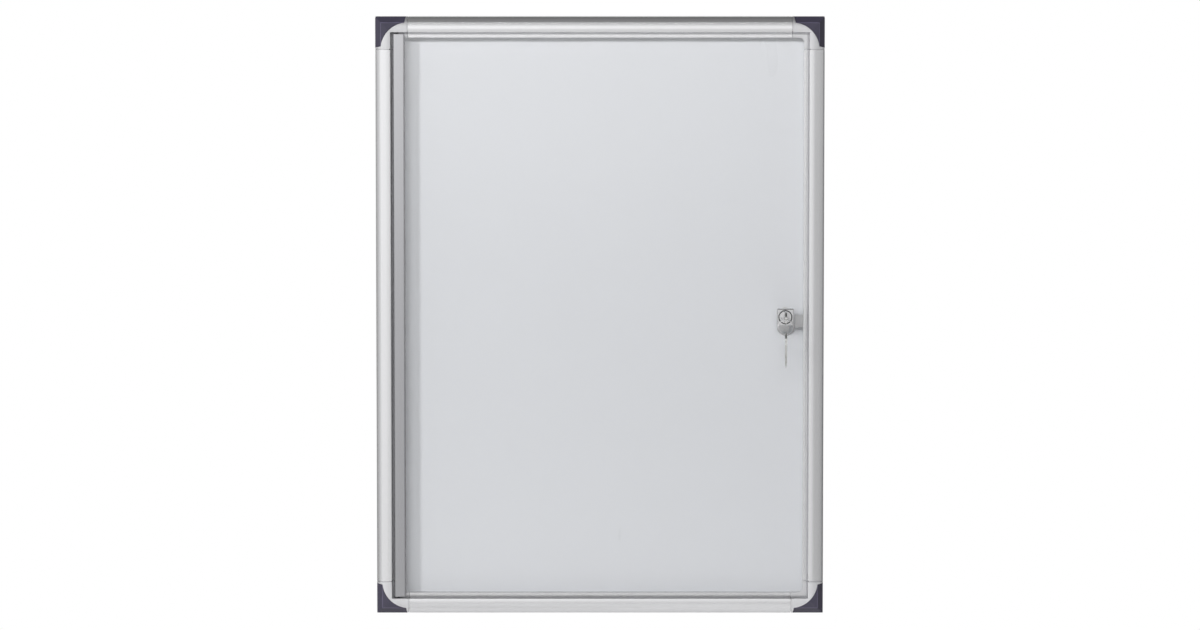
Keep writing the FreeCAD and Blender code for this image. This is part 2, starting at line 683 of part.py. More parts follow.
def make_cam():
    """Flat tongue that hangs down at rest and turns to the right to lock."""
    arm = block(
        LOCK_X - CAM_OUTER_SIDE, LOCK_X + CAM_INNER_SIDE, CAM_BACK, CAM_FRONT,
        LOCK_Z - CAM_REACH, LOCK_Z,
    )
    tips = [
        edge for edge in arm.Edges
        if edge.BoundBox.YLength > CAM_THICKNESS / 2 and edge.BoundBox.ZMax < LOCK_Z - CAM_REACH / 2
    ]
    arm = arm.makeFillet(CAM_TIP_ROUND, tips)
    cam = arm.fuse(disc(CAM_HUB_RADIUS, LOCK_X, LOCK_Z, CAM_BACK, CAM_FRONT)).removeSplitter()
    half = PLUG_SQUARE / 2
    hole = block(
        LOCK_X - half, LOCK_X + half, CAM_BACK - PAST, CAM_FRONT + PAST, LOCK_Z - half, LOCK_Z + half,
    )
    return cam.cut(hole)


def make_cam_screw():
    """Pan head screw on the back of the cam."""
    low = CAM_BACK - CAM_SCREW_HEAD_HEIGHT
    head = disc(CAM_SCREW_HEAD_RADIUS, LOCK_X, LOCK_Z, low, CAM_BACK)
    shank = disc(CAM_SCREW_RADIUS, LOCK_X, LOCK_Z, CAM_BACK, CAM_BACK + CAM_SCREW_LENGTH)
    reach = CAM_SCREW_HEAD_RADIUS + PAST
    half = CAM_SCREW_SLOT_WIDTH / 2
    slot = block(
        LOCK_X - reach, LOCK_X + reach, low - PAST, low + CAM_SCREW_SLOT_DEPTH,
        LOCK_Z - half, LOCK_Z + half,
    )
    return head.fuse(shank).cut(slot).removeSplitter()


# Strike bracket

def strike_left():
    """Left edge of the bracket, clear of the nut."""
    return LOCK_X + NUT_FLATS / 2 + STRIKE_NUT_GAP


def make_strike():
    """Angle bracket: a plate in front of the turned cam and a flange on the bar's inner wall."""
    wall = WIDTH / 2 - FACE_WIDTH
    low = STRIKE_Z - STRIKE_HEIGHT / 2
    high = STRIKE_Z + STRIKE_HEIGHT / 2
    plate = block(strike_left(), wall, STRIKE_FRONT - STRIKE_THICKNESS, STRIKE_FRONT, low, high)
    flange_end = JAW_FRONT + STRIKE_FLANGE_GAP
    flange = block(wall - STRIKE_THICKNESS, wall, flange_end, STRIKE_FRONT, low, high)
    strike = plate.fuse(flange).removeSplitter()
    bend = [
        edge for edge in strike.Edges
        if edge.BoundBox.ZLength > STRIKE_HEIGHT / 2
        and edge.BoundBox.XMin > wall - STRIKE_THICKNESS / 2
        and edge.BoundBox.YMin < -STRIKE_FRONT + STRIKE_THICKNESS / 2
    ]
    strike = strike.makeFillet(STRIKE_BEND, bend)
    return strike.cut(strike_screw_list())


def strike_screw_list():
    """Two pan head screws through the flange into the bar, midway between jaw and plate."""
    wall = WIDTH / 2 - FACE_WIDTH
    height = (JAW_FRONT + STRIKE_FRONT - STRIKE_THICKNESS) / 2
    screws = []
    for sign in (-1, 1):
        z = STRIKE_Z + sign * STRIKE_SCREW_SPACING / 2
        start = Vector(wall - STRIKE_THICKNESS, -height, z)
        shank = Part.makeCylinder(STRIKE_SCREW_RADIUS, STRIKE_SCREW_LENGTH, start, Vector(1, 0, 0))
        head = Part.makeCylinder(STRIKE_SCREW_HEAD_RADIUS, STRIKE_SCREW_HEAD_HEIGHT, start, Vector(-1, 0, 0))
        screws.append(shank.fuse(head).removeSplitter())
    return screws


# Keys and ring

def make_key():
    """Key with its bow hole at the origin, the blade along +Y and the cuts below."""
    half = KEY_THICKNESS / 2
    bow_y = BOW_RADIUS - BOW_HOLE_INSET
    x_axis = Vector(1, 0, 0)
    blade_end = KEY_LENGTH - BOW_HOLE_INSET
    shoulder = blade_end - KEY_INSERTION - NECK_GAP
    key = Part.makeCylinder(BOW_RADIUS, KEY_THICKNESS, Vector(-half, bow_y, 0), x_axis)
    neck = Part.makeBox(KEY_THICKNESS, shoulder - bow_y, NECK_HEIGHT, Vector(-half, bow_y, -NECK_HEIGHT / 2))
    top = BLADE_HEIGHT / 2
    tip = blade_end - KEY_TIP
    outline = [(bow_y, top), (tip, top), (blade_end, 0), (tip, -top)]
    for k, depth in reversed(list(enumerate(BIT_DEPTHS))):
        y = shoulder + BIT_START + k * BIT_PITCH
        floor = BIT_FLAT / 2
        mouth = floor + depth * BIT_SLOPE
        outline += [(y + mouth, -top), (y + floor, depth - top), (y - floor, depth - top), (y - mouth, -top)]
    outline.append((bow_y, -top))
    blade = polygon([Vector(-half, y, z) for y, z in outline]).extrude(Vector(KEY_THICKNESS, 0, 0))
    key = key.fuse([neck, blade]).removeSplitter()
    hole = Part.makeCylinder(BOW_HOLE_RADIUS, KEY_THICKNESS + 2 * PAST, Vector(-half - PAST, 0, 0), x_axis)
    milling_start = Vector(half - MILLING_DEPTH, shoulder + NECK_GAP, 0)
    milling = Part.makeBox(MILLING_DEPTH, KEY_INSERTION + PAST, MILLING_HEIGHT, milling_start)
    return key.cut([hole, milling])


def make_key_in_lock():
    return make_key().translated(Vector(LOCK_X, -BOW_HOLE_HEIGHT, LOCK_Z))


def make_spare_key():
    """The same key hanging from the bottom of the ring, blade down."""
    key = make_key().rotated(ORIGIN, Vector(1, 0, 0), -90)
    return key.translated(Vector(LOCK_X, -BOW_HOLE_HEIGHT, SPARE_HOLE_Z))


def make_ring():
    """Ring of drawn wire with many narrow flats, face on to the viewer."""
    points = []
    for k in range(RING_WIRE_SIDES):
        angle = 2 * math.pi * k / RING_WIRE_SIDES
        reach = RING_RADIUS + RING_WIRE_RADIUS * math.cos(angle)
        points.append(Vector(reach, RING_WIRE_RADIUS * math.sin(angle), 0))
    ring = polygon(points).revolve(ORIGIN, Y_AXIS, 360)
    return ring.translated(Vector(LOCK_X, -BOW_HOLE_HEIGHT, RING_Z))


def parts():
    """Every piece by name."""
    pieces = {}
    for side in SIDES:
        pieces["frame_bar_" + side] = make_bar(side)
    cap = make_cap()
    for place in CORNERS:
        pieces["corner_" + place] = at_corner(make_corner(place), place)
        pieces["corner_cap_" + place] = at_corner(cap, place)
    pieces["corner_screws"] = make_leg_screws()
    pieces["panel_back_sheet"] = make_panel(BACKING_FRONT - BACKING_THICKNESS, BACKING_FRONT)
    pieces["panel_core"] = make_panel(BACKING_FRONT, CORE_FRONT)
    pieces["writing_panel"] = make_panel(CORE_FRONT, PANEL_FRONT)
    pieces["door_hinge_bar"] = make_hinge_bar()
    pieces["door_pane"] = make_pane()
    for name, sign in (("top", 1), ("bottom", -1)):
        pieces["hinge_pin_" + name] = make_pin(sign)
        pieces["hinge_bush_" + name] = make_bush(sign)
    pieces["lock_housing"] = make_lock_housing()
    pieces["lock_plug"] = make_plug()
    pieces["lock_washer"] = make_washer()
    pieces["lock_nut"] = make_nut()
    pieces["lock_cam"] = make_cam()
    pieces["cam_screw"] = make_cam_screw()
    pieces["strike_plate"] = make_strike()
    pieces["strike_screws"] = Part.makeCompound(strike_screw_list())
    pieces["key_in_lock"] = make_key_in_lock()
    pieces["key_ring"] = make_ring()
    pieces["spare_key"] = make_spare_key()
    return pieces


def main():
    os.makedirs("parts", exist_ok=True)
    for name, shape in parts().items():
        shape.exportStep("parts/" + name + ".step")
        solids = len(shape.Solids)
        print(f"{name}: {solids} solid(s), {shape.Volume:.1f} mm3, valid {shape.isValid()}")


if __name__ == "__main__":
    main()
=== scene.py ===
import math

import bpy
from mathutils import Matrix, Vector


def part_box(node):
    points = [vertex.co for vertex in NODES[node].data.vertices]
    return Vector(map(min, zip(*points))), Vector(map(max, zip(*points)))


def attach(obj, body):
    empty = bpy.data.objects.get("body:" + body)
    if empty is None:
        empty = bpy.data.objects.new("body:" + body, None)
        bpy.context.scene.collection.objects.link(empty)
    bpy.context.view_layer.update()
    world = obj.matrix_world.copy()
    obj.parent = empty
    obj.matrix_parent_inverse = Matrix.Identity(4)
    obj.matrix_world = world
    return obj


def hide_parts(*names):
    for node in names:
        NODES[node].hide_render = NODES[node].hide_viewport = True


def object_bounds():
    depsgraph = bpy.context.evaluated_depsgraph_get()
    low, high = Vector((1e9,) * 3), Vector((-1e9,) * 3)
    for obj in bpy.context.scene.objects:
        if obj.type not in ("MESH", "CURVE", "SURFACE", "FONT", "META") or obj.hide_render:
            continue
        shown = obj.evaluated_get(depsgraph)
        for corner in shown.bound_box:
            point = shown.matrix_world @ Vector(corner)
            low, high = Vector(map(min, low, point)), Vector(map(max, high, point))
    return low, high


bl_info = {
    "name": "Lockable Notice Board",
    "version": (1, 0, 0),
    "blender": (4, 5, 0),
    "location": "View3D > Sidebar > Notice Board",
    "description": "Finishes and fine detail of a lockable notice board, and its studio",
    "category": "Object",
}

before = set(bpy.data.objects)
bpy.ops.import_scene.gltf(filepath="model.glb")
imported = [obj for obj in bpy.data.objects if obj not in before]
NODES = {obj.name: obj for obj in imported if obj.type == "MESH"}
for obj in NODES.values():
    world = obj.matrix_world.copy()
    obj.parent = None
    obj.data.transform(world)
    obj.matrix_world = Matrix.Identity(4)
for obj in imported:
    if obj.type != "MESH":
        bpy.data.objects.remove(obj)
cad_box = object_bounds()

# Pixels of the photograph, which is 1200 by 630
PHOTO_WIDTH = 1200
BOARD_LEFT = 376.1
BOARD_RIGHT = 823.5

# Height above the wall of the edge that shows against the background
SILHOUETTE_HEIGHT = 0.020

# How far above the middle of the board the camera aims
AIM_HEIGHT = 0.0011

# Share of an anodised surface that mirrors, while the rest scatters light as a dull one does
METAL_SHARE = 0.8

# Die lines of an extrusion: how fine they are across and along it
DIE_LINES = 2400.0
DIE_LENGTH = 8.0

# Heights in the bumps of die lines and of fine grain
LINE_RELIEF = 0.00001
GRAIN_RELIEF = 0.00004

# A face of the pane that looks less to the front than this is a sawn edge
EDGE_FACING = 0.7

# Share of light that clear polished sheet mirrors when seen square on
SQUARE_GLOSS = 0.04

# Plating of the lock's head and of its plug
LOCK_PLATE = dict(colour=(0.84, 0.84, 0.85), rough=0.18, bump=0.015, metal=0.92)

# How far the edges of the pieces are rounded
CORNER_EDGE = 0.00016
CAP_EDGE = 0.00030
RAIL_EDGE = 0.00018
PANE_EDGE = 0.00035
HEAD_EDGE = 0.00050
PLUG_EDGE = 0.00035
KEY_EDGE = 0.00030
SMALL_EDGE = 0.00018
SCREW_EDGE = 0.00010

# Corners and caps are rounded further from the wall than this, where their edges show
CORNER_SOFT_FROM = 0.0235
CAP_SOFT_FROM = 0.0285

# Bends that count as edges on the caps, and on the lock's head when it is shaded
CAP_SHARP = math.radians(7)
HEAD_SHARP = math.radians(18)

# Painted highlight along the caps' ridge: how far it lies in from the board's outline, and half its
# width
CAP_RIDGE = 0.0062
CAP_RIDGE_HIGHLIGHT_HALF = 0.00035

# Points this near a face lie on it
SEAT = 0.0001

# Driver recesses of the screws, and how narrow their ends are beside their mouths
RECESS_WIDTH = 0.0007
LEG_RECESS_REACH = 0.0014
LEG_RECESS_DEPTH = 0.0013
PAN_RECESS_REACH = 0.0011
PAN_RECESS_DEPTH = 0.0008
RECESS_TAPER = 0.4

# Groove round the plug, in the front of the lock
GROOVE_RADIUS = 0.00725
GROOVE_HALF = 0.00055
GROOVE_DEPTH = 0.0014

# Painted shade in the lock's groove: its colour, and how far across the groove it reaches
GROOVE_SHADE = (0.22, 0.22, 0.225)
GROOVE_SHADE_SPREAD = 1.02

# Thread of the lock's barrel, its cutter's reach beyond it and the share of the pitch that it takes
BARREL_RADIUS = 0.0075
THREAD_PITCH = 0.0010
THREAD_DEPTH = 0.0005
THREAD_CLEAR = 0.0003
THREAD_FILL = 0.92

# Flat wire of the split key ring, where its ends lie, and the rise of a turn in wire heights
RING_WIRE_WIDTH = 0.0012
RING_WIRE_HEIGHT = 0.0005
RING_END_ANGLE = math.radians(77)
RING_COIL_RISE = 1.02

# Straight steps in one round of the ring and the groove, of the groove's section and of the thread
RING_STEPS = 72
GROOVE_STEPS = 12
THREAD_STEPS = 48

# The floor: its radius, where it starts and ends to fade, and its share of plain white to the camera
FLOOR_RADIUS = 1.6
FLOOR_FADE_FROM = 0.6
FLOOR_FADE_TO = 1.5
FLOOR_GLOW = 0.65

# The tent that metal and gloss see: how bright it is from below to above, and from left to right
TENT_BY_HEIGHT = (
    (0.00, 0.95), (0.30, 0.92), (0.38, 0.72), (0.42, 0.54), (0.45, 0.54), (0.462, 0.68),
    (0.476, 1.00), (0.495, 1.40), (0.57, 1.50), (0.64, 0.72), (0.71, 0.24), (0.88, 0.08),
)
TENT_BY_SIDE = (
    (0.00, 0.52), (0.12, 0.78), (0.25, 1.05), (0.47, 1.05), (0.51, 0.90), (0.55, 0.62),
    (0.60, 0.50), (1.00, 0.50),
)

# Its back starts this far behind the board's plane, and is dimmer by this share
TENT_BACK_FROM = 0.25
TENT_BACK_DIMMER = 0.5

# The lamps: where each stands, seen from the middle of the board's front, and its width and height
FRONT_LAMP = dict(stand=(-0.6, -4.2, 2.05), size=(3.4, 0.5))
SIDE_LAMP = dict(stand=(-3.1, -3.1, 1.5), size=(0.5, 1.4))
REAR_LAMP = dict(stand=(2.2, 3.62, 2.4), size=(2.4, 1.2))

# The board's corners, as the nodes name them
PLACES = ("top_left", "top_right", "bottom_right", "bottom_left")

# Edges sharper than this are rounded
SHARP = math.radians(30)

# Faces flatter than this become one, and so do points nearer than this
FLAT_WITHIN = math.radians(0.3)
MERGE = 0.000002


# Shader expressions

class Wire:
    """An output socket that adds Math nodes when it stands in an expression."""

    def __init__(self, sheet, socket):
        self.sheet = sheet
        self.socket = socket

    def math(self, operation, *others):
        values = [self] + list(others)
        return self.sheet.node("ShaderNodeMath", dict(operation=operation), *values)

    def __add__(self, other):
        return self.math("ADD", other)

    __radd__ = __add__

    def __mul__(self, other):
        return self.math("MULTIPLY", other)

    __rmul__ = __mul__

    def __sub__(self, other):
        return self.math("SUBTRACT", other)

    def __rsub__(self, other):
        return self.sheet.node("ShaderNodeMath", dict(operation="SUBTRACT"), other, self)

    def __gt__(self, other):
        return self.math("GREATER_THAN", other)

    def __lt__(self, other):
        return self.math("LESS_THAN", other)

    def __abs__(self):
        return self.math("ABSOLUTE")

    def raised(self, power):
        return self.math("POWER", power)

    def clamped(self):
        return self.sheet.node("ShaderNodeClamp", {}, self)

    def other(self, name):
        """Another output of the same node."""
        return Wire(self.sheet, self.socket.node.outputs[name])


class Sheet:
    """The node tree of one finish or of the surroundings, filled by expressions."""

    def __init__(self, tree):
        self.tree = tree
        tree.nodes.clear()

    def node(self, kind, settings, *values, **named):
        """Adds a node, sets it up, links or fills its inputs and gives its first output."""
        node = self.tree.nodes.new(kind)
        for name, value in settings.items():
            if name == "stops":
                self.fill_ramp(node.color_ramp, value)
            else:
                setattr(node, name, value)
        for index, value in enumerate(values):
            self.fill(node.inputs[index], value)
        for name, value in named.items():
            self.fill(self.input_named(node, name), value)
        return Wire(self, self.first_output(node))

    @staticmethod
    def first_output(node):
        return next((socket for socket in node.outputs if socket.enabled), None)

    @staticmethod
    def input_named(node, name):
        label = name.replace("_", " ")
        return next(socket for socket in node.inputs if socket.enabled and socket.name == label)

    def fill(self, socket, value):
        if isinstance(value, Wire):
            self.tree.links.new(value.socket, socket)
        elif value is not None:
            if socket.type == "RGBA" and len(value) == 3:
                value = tuple(value) + (1.0,)
            socket.default_value = value

    @staticmethod
    def fill_ramp(ramp, stops):
        while len(ramp.elements) < len(stops):
            ramp.elements.new(1.0)
        for element, (position, colour) in zip(ramp.elements, stops):
            element.position = position
            element.color = tuple(colour) + (1.0,) if len(colour) == 3 else colour

    def coordinates(self, output="Object"):
        """Texture coordinates of the piece, by the name of the output."""
        node = self.tree.nodes.new("ShaderNodeTexCoord")
        return Wire(self, node.outputs[output])

    def axes(self, vector):
        """The three parts of a vector."""
        node = self.tree.nodes.new("ShaderNodeSeparateXYZ")
        self.fill(node.inputs[0], vector)
        return [Wire(self, node.outputs[k]) for k in range(3)]

    def stretched(self, vector, scale):
        return self.node("ShaderNodeVectorMath", dict(operation="MULTIPLY"), vector, scale)

    def noise(self, vector, scale, detail=2.0, roughness=0.5):
        values = dict(Vector=vector, Scale=scale, Detail=detail, Roughness=roughness)
        return self.node("ShaderNodeTexNoise", {}, **values)

    def mixed(self, factor, first, second):
        """Two colours mixed by a factor."""
        node = self.tree.nodes.new("ShaderNodeMix")
        node.data_type = "RGBA"
        self.fill(node.inputs["Factor"], factor)
        self.fill(node.inputs[6], first)
        self.fill(node.inputs[7], second)
        return Wire(self, node.outputs[2])

    def bump(self, height, strength, distance):
        values = dict(Strength=strength, Distance=distance, Height=height)
        return self.node("ShaderNodeBump", {}, **values)

    def surface(self, shader):
        """Shows a shader on the piece, or in the world."""
        kind = "ShaderNodeOutputMaterial"
        if isinstance(self.tree.id_data, bpy.types.World):
            kind = "ShaderNodeOutputWorld"
        self.node(kind, {}, Surface=shader)


def finish_sheet(name):
    """A new material and the sheet of its nodes."""
    material = bpy.data.materials.new(name)
    material.use_nodes = True
    return material, Sheet(material.node_tree)


def settings():
    """The colours that a user would change."""
    return bpy.context.scene.notice_board_finish


# Finishes

def anodised(name, along):
    """Matt silver anodised extrusion, with faint die lines along one axis."""
    material, sheet = finish_sheet(name)
    place = sheet.coordinates()
    squeeze = [DIE_LINES] * 3
    squeeze[along] = DIE_LENGTH
    lines = sheet.noise(sheet.stretched(place, squeeze), 1.0, detail=1.0)
    cloud = sheet.noise(place, 9.0, detail=2.0)
    light = settings().aluminium
    dark = [part * 0.97 for part in light]
    colour = sheet.mixed((lines * 0.7 + cloud * 0.3).clamped(), dark, light)
    rough = 0.24 + lines * 0.03 + cloud * 0.01
    shader = sheet.node(
        "ShaderNodeBsdfPrincipled", {},
        Base_Color=colour, Metallic=METAL_SHARE, Roughness=rough,
        Normal=sheet.bump(lines, 0.04, LINE_RELIEF),
    )
    sheet.surface(shader)
    return material


def silver_moulding():
    """Moulded corner in satin silver lacquer."""
    material, sheet = finish_sheet("silver_moulding")
    place = sheet.coordinates()
    grain = sheet.noise(place, 2600.0, detail=2.0)
    cloud = sheet.noise(place, 30.0, detail=3.0)
    light = settings().corner
    dark = [part * 0.92 for part in light]
    shader = sheet.node(
        "ShaderNodeBsdfPrincipled", {},
        Base_Color=sheet.mixed(cloud, dark, light), Metallic=0.75, Roughness=0.36 + cloud * 0.08,
        Normal=sheet.bump(grain, 0.12, GRAIN_RELIEF),
    )
    sheet.surface(shader)
    return material


def navy_moulding():
    """Satin navy plastic of the corner caps, a little rubbed on its open faces, with a highlight
    painted along the ridge.
    """
    material, sheet = finish_sheet("navy_moulding")
    place = sheet.coordinates()
    grain = sheet.noise(place, 3200.0, detail=2.0)
    rub = sheet.noise(place, 120.0, detail=4.0)
    dark = settings().cap
    pale = [part * 1.35 + 0.004 for part in dark]
    across, _, up = sheet.axes(place)
    high = cad_box[1]
    inset = (high[0] - abs(across)).math("MINIMUM", high[2] - abs(up))
    # Painted highlight: a paler line along the ridge, varied by the rub noise
    wear_and_painted_light = (abs(inset - CAP_RIDGE) < CAP_RIDGE_HIGHLIGHT_HALF) * (0.25 + rub * 0.5)
    colour = sheet.mixed(wear_and_painted_light, sheet.mixed(rub, dark, pale), [part * 4 for part in dark])
    shader = sheet.node(
        "ShaderNodeBsdfPrincipled", {},
        Base_Color=colour, Roughness=0.40 + rub * 0.12,
        Normal=sheet.bump(grain, 0.15, GRAIN_RELIEF),
    )
    sheet.surface(shader)
    return material


def panel_lacquer():
    """White lacquer of the writing panel, with the faint flow of a coated sheet."""
    material, sheet = finish_sheet("panel_lacquer")
    place = sheet.coordinates()
    cloud = sheet.noise(place, 3.0, detail=2.0)
    wipe = sheet.noise(sheet.stretched(place, (14.0, 14.0, 4.0)), 1.0, detail=4.0)
    light = settings().panel
    dark = [part * 0.975 for part in light]
    shader = sheet.node(
        "ShaderNodeBsdfPrincipled", {},
        Base_Color=sheet.mixed(cloud, dark, light), Roughness=0.24 + wipe * 0.10,
        Normal=sheet.bump(wipe, 0.03, 0.0002),
    )
    sheet.surface(shader)
    return material


def clear_sheet():
    """Clear polished acrylic: gloss over what lies behind, and pale sawn edges."""
    material, sheet = finish_sheet("clear_sheet")
    facing = abs(sheet.axes(sheet.coordinates("Normal"))[1])
    edge = facing < EDGE_FACING
    slant = sheet.node("ShaderNodeLayerWeight", {}, Blend=0.5).other("Facing")
    gloss = SQUARE_GLOSS + slant.raised(5.0) * (1 - SQUARE_GLOSS)
    haze = sheet.noise(sheet.coordinates(), 6.0, detail=3.0)
    alpha = (0.01 + gloss * 1.5 + haze * 0.01 + edge * 0.18).clamped()
    shader = sheet.node(
        "ShaderNodeBsdfPrincipled", {},
        Base_Color=settings().pane, Metallic=1 - edge, Alpha=alpha,
        Roughness=0.03 + haze * 0.04 + edge * 0.3,
    )
    sheet.surface(shader)
    return material


def plated(name, colour, rough, grain_size=900.0, bump=0.05, metal=1.0, painted_shade=None):
    """Plated or drawn metal with fine wear, and with painted shade where a test of the place says so.
    """
    material, sheet = finish_sheet(name)
    place = sheet.coordinates()
    grain = sheet.noise(place, grain_size, detail=4.0)
    cloud = sheet.noise(place, 160.0, detail=2.0)
    dark = [part * 0.82 for part in colour]
    wear_and_painted_light = sheet.mixed(cloud, dark, colour)
    # A mask, when given, paints shade in as a darker colour
    if painted_shade:
        wear_and_painted_light = sheet.mixed(painted_shade(sheet, place), wear_and_painted_light, GROOVE_SHADE)
    shader = sheet.node(
        "ShaderNodeBsdfPrincipled", {},
        Base_Color=wear_and_painted_light, Metallic=metal, Roughness=rough + grain * 0.10,
        Normal=sheet.bump(grain, bump, GRAIN_RELIEF),
    )
    sheet.surface(shader)
    return material


def groove_shade_mask(sheet, place):
    """Where shade is painted: one in the groove round the plug, below the front of the head, and nought
    elsewhere.
    """
    centre = middle("lock_plug")
    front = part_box("lock_housing")[0][1]
    across, depth, up = sheet.axes(place)
    across = across - centre.x
    up = up - centre.z
    reach = (across * across + up * up).raised(0.5)
    in_ring = abs(reach - GROOVE_RADIUS) < GROOVE_HALF * GROOVE_SHADE_SPREAD
    return in_ring * (depth > front + SEAT)


def zinc_sheet():
    """Zinc coated backing sheet with its spangle."""
    material, sheet = finish_sheet("zinc_sheet")
    place = sheet.coordinates()
    cells = sheet.node("ShaderNodeTexVoronoi", {}, Vector=place, Scale=70.0)
    fine = sheet.noise(place, 300.0, detail=4.0)
    shader = sheet.node(
        "ShaderNodeBsdfPrincipled", {},
        Base_Color=sheet.mixed(cells, (0.60, 0.62, 0.63), (0.44, 0.46, 0.47)), Metallic=1.0,
        Roughness=0.38 + fine * 0.15, Normal=sheet.bump(fine, 0.06, 0.0001),
    )
    sheet.surface(shader)
    return material


def plain(name, colour, rough, grain_size, depth):
    """A dull solid stuff, such as core board or nylon, with its own grain."""
    material, sheet = finish_sheet(name)
    place = sheet.coordinates()
    grain = sheet.noise(place, grain_size, detail=5.0)
    dark = [part * 0.85 for part in colour]
    shader = sheet.node(
        "ShaderNodeBsdfPrincipled", {},
        Base_Color=sheet.mixed(grain, dark, colour), Roughness=rough + grain * 0.1,
        Normal=sheet.bump(grain, 0.3, depth),
    )
    sheet.surface(shader)
    return material


def coat(material, *nodes):
    """Gives CAD nodes a finish."""
    for node in nodes:
        slots = NODES[node].data.materials
        for index in range(len(slots)):
            slots[index] = material


def zinc_plate():
    """Zinc plating of the screws, made once."""
    made = bpy.data.materials.get("zinc_plate")
    return made or plated("zinc_plate", (0.62, 0.62, 0.62), 0.30)


def pressed_steel():
    """Plated pressing of the cam and the strike, made once."""
    made = bpy.data.materials.get("pressed_steel")
    return made or plated("pressed_steel", (0.62, 0.62, 0.63), 0.26, metal=0.8)


def hinge_rail_finish():
    """Bright anodised hinge bar, which mirrors more than the frame does."""
    material, sheet = finish_sheet("bright_anodised")
    place = sheet.coordinates()
    lines = sheet.noise(sheet.stretched(place, (DIE_LINES, DIE_LINES, DIE_LENGTH)), 1.0, detail=3.0)
    light = settings().rail
    dark = [part * 0.95 for part in light]
    shader = sheet.node(
        "ShaderNodeBsdfPrincipled", {},
        Base_Color=sheet.mixed(lines, dark, light), Metallic=0.95, Roughness=0.13 + lines * 0.05,
        Normal=sheet.bump(lines, 0.08, LINE_RELIEF),
    )
    sheet.surface(shader)
    return material


# Modelling

def alone(item):
    """Makes one piece the only selected one and the active one."""
    bpy.ops.object.select_all(action="DESELECT")
    item.select_set(True)
    bpy.context.view_layer.objects.active = item


def copied(node, name, convex=False):
    """A copy of a node, its triangles joined into whole faces, or into convex ones."""
    item = bpy.data.objects.new(name, NODES[node].data.copy())
    bpy.context.scene.collection.objects.link(item)
    item.data.materials.clear()
    alone(item)
    bpy.ops.mesh.customdata_custom_splitnormals_clear()
    bpy.ops.object.mode_set(mode="EDIT")
    bpy.ops.mesh.select_all(action="SELECT")
    bpy.ops.mesh.remove_doubles(threshold=MERGE)
    bpy.ops.mesh.dissolve_limited(angle_limit=FLAT_WITHIN)
    if convex:
        bpy.ops.mesh.select_all(action="SELECT")
        bpy.ops.mesh.vert_connect_concave()
    bpy.ops.object.mode_set(mode="OBJECT")
    return item


def round_heads(item, front):
    """Middle of the outer face of each separate screw, by a test of which points lie on it."""
    points = item.data.vertices
    return [
        face.center.copy() for face in item.data.polygons
        if all(front(points[corner].co) for corner in face.vertices)
    ]


def applied(item, kind, **values):
    """Adds a modifier, sets it up and applies it."""
    modifier = item.modifiers.new("step", kind)
    for name, value in values.items():
        setattr(modifier, name, value)
    alone(item)
    bpy.ops.object.modifier_apply(modifier=modifier.name)


def smoothed(item, sharp=SHARP):
    """Shades rounded edges smooth and keeps the flat faces flat."""
    alone(item)
    bpy.ops.object.shade_smooth_by_angle(angle=sharp)
    applied(item, "WEIGHTED_NORMAL", mode="FACE_AREA", weight=50, keep_sharp=True)
    return item


def softened(item, width, where=None, clamp=True, sharp=SHARP):
    """Rounds the sharp edges, or only those whose two ends pass a test of their place."""
    alone(item)
    bpy.ops.object.mode_set(mode="EDIT")
    bpy.ops.mesh.select_mode(type="EDGE")
    bpy.ops.mesh.select_all(action="DESELECT")
    bpy.ops.mesh.edges_select_sharp(sharpness=sharp)
    bpy.ops.object.mode_set(mode="OBJECT")
    if where:
        points = item.data.vertices
        edges = item.data.edges
        chosen = [
            edge.index for edge in edges
            if edge.select and all(where(points[end].co) for end in edge.vertices)
        ]
        for parts in (points, edges, item.data.polygons):
            parts.foreach_set("select", [False] * len(parts))
        for index in chosen:
            edges[index].select = True
    bpy.ops.object.mode_set(mode="EDIT")
    bpy.ops.mesh.bevel(offset=width, segments=2, profile=0.5, clamp_overlap=clamp, miter_outer="ARC")
    bpy.ops.mesh.select_all(action="SELECT")
    bpy.ops.mesh.remove_doubles(threshold=MERGE)
    bpy.ops.mesh.normals_make_consistent(inside=False)
    bpy.ops.object.mode_set(mode="OBJECT")
    return smoothed(item, sharp)


def fitted(item, material, body, slot, *nodes):
    """Finishes a piece, puts it on its body and hides the nodes that it stands for."""
    item.data.materials.clear()
    item.data.materials.append(material)
    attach(item, body)
    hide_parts(*nodes)
    return item


def settled(item):
    """Puts a piece's place and turn into its mesh."""
    alone(item)
    bpy.ops.object.transform_apply(location=True, rotation=True, scale=True)
    return item


def middle(node):
    """Middle of a node's box."""
    low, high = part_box(node)
    return (Vector(low) + Vector(high)) / 2


def cut(item, cutter):
    """Takes the cutter's shape out of a piece and removes the cutter."""
    applied(item, "BOOLEAN", operation="DIFFERENCE", solver="EXACT", use_self=True, object=cutter)
    bpy.data.objects.remove(cutter)


def cross_cutter(seat, inward, reach, width, depth):
    """A cross that narrows inward, its middle on the seat of a screw's driver recess."""
    bars = []
    for turn in (0, math.pi / 2):
        bpy.ops.object.select_all(action="DESELECT")
        bpy.ops.mesh.primitive_cube_add(size=1)
        bar = bpy.context.object
        bar.scale = (2 * reach, width, 2 * depth)
        bar.rotation_euler = (0, 0, turn)
        settled(bar)
        bpy.ops.object.mode_set(mode="EDIT")
        bpy.ops.mesh.select_mode(type="VERT")
        bpy.ops.mesh.select_all(action="DESELECT")
        bpy.ops.object.mode_set(mode="OBJECT")
        for point in bar.data.vertices:
            point.select = point.co.z < 0
        bpy.ops.object.mode_set(mode="EDIT")
        bpy.ops.transform.resize(value=(RECESS_TAPER, RECESS_TAPER, 1))
        bpy.ops.object.mode_set(mode="OBJECT")
        bars.append(bar)
    for bar in bars:
        bar.select_set(True)
    bpy.ops.object.join()
    cutter = bpy.context.object
    cutter.location = seat
    cutter.rotation_euler = Vector(inward).to_track_quat("-Z", "Y").to_euler()
    return settled(cutter)


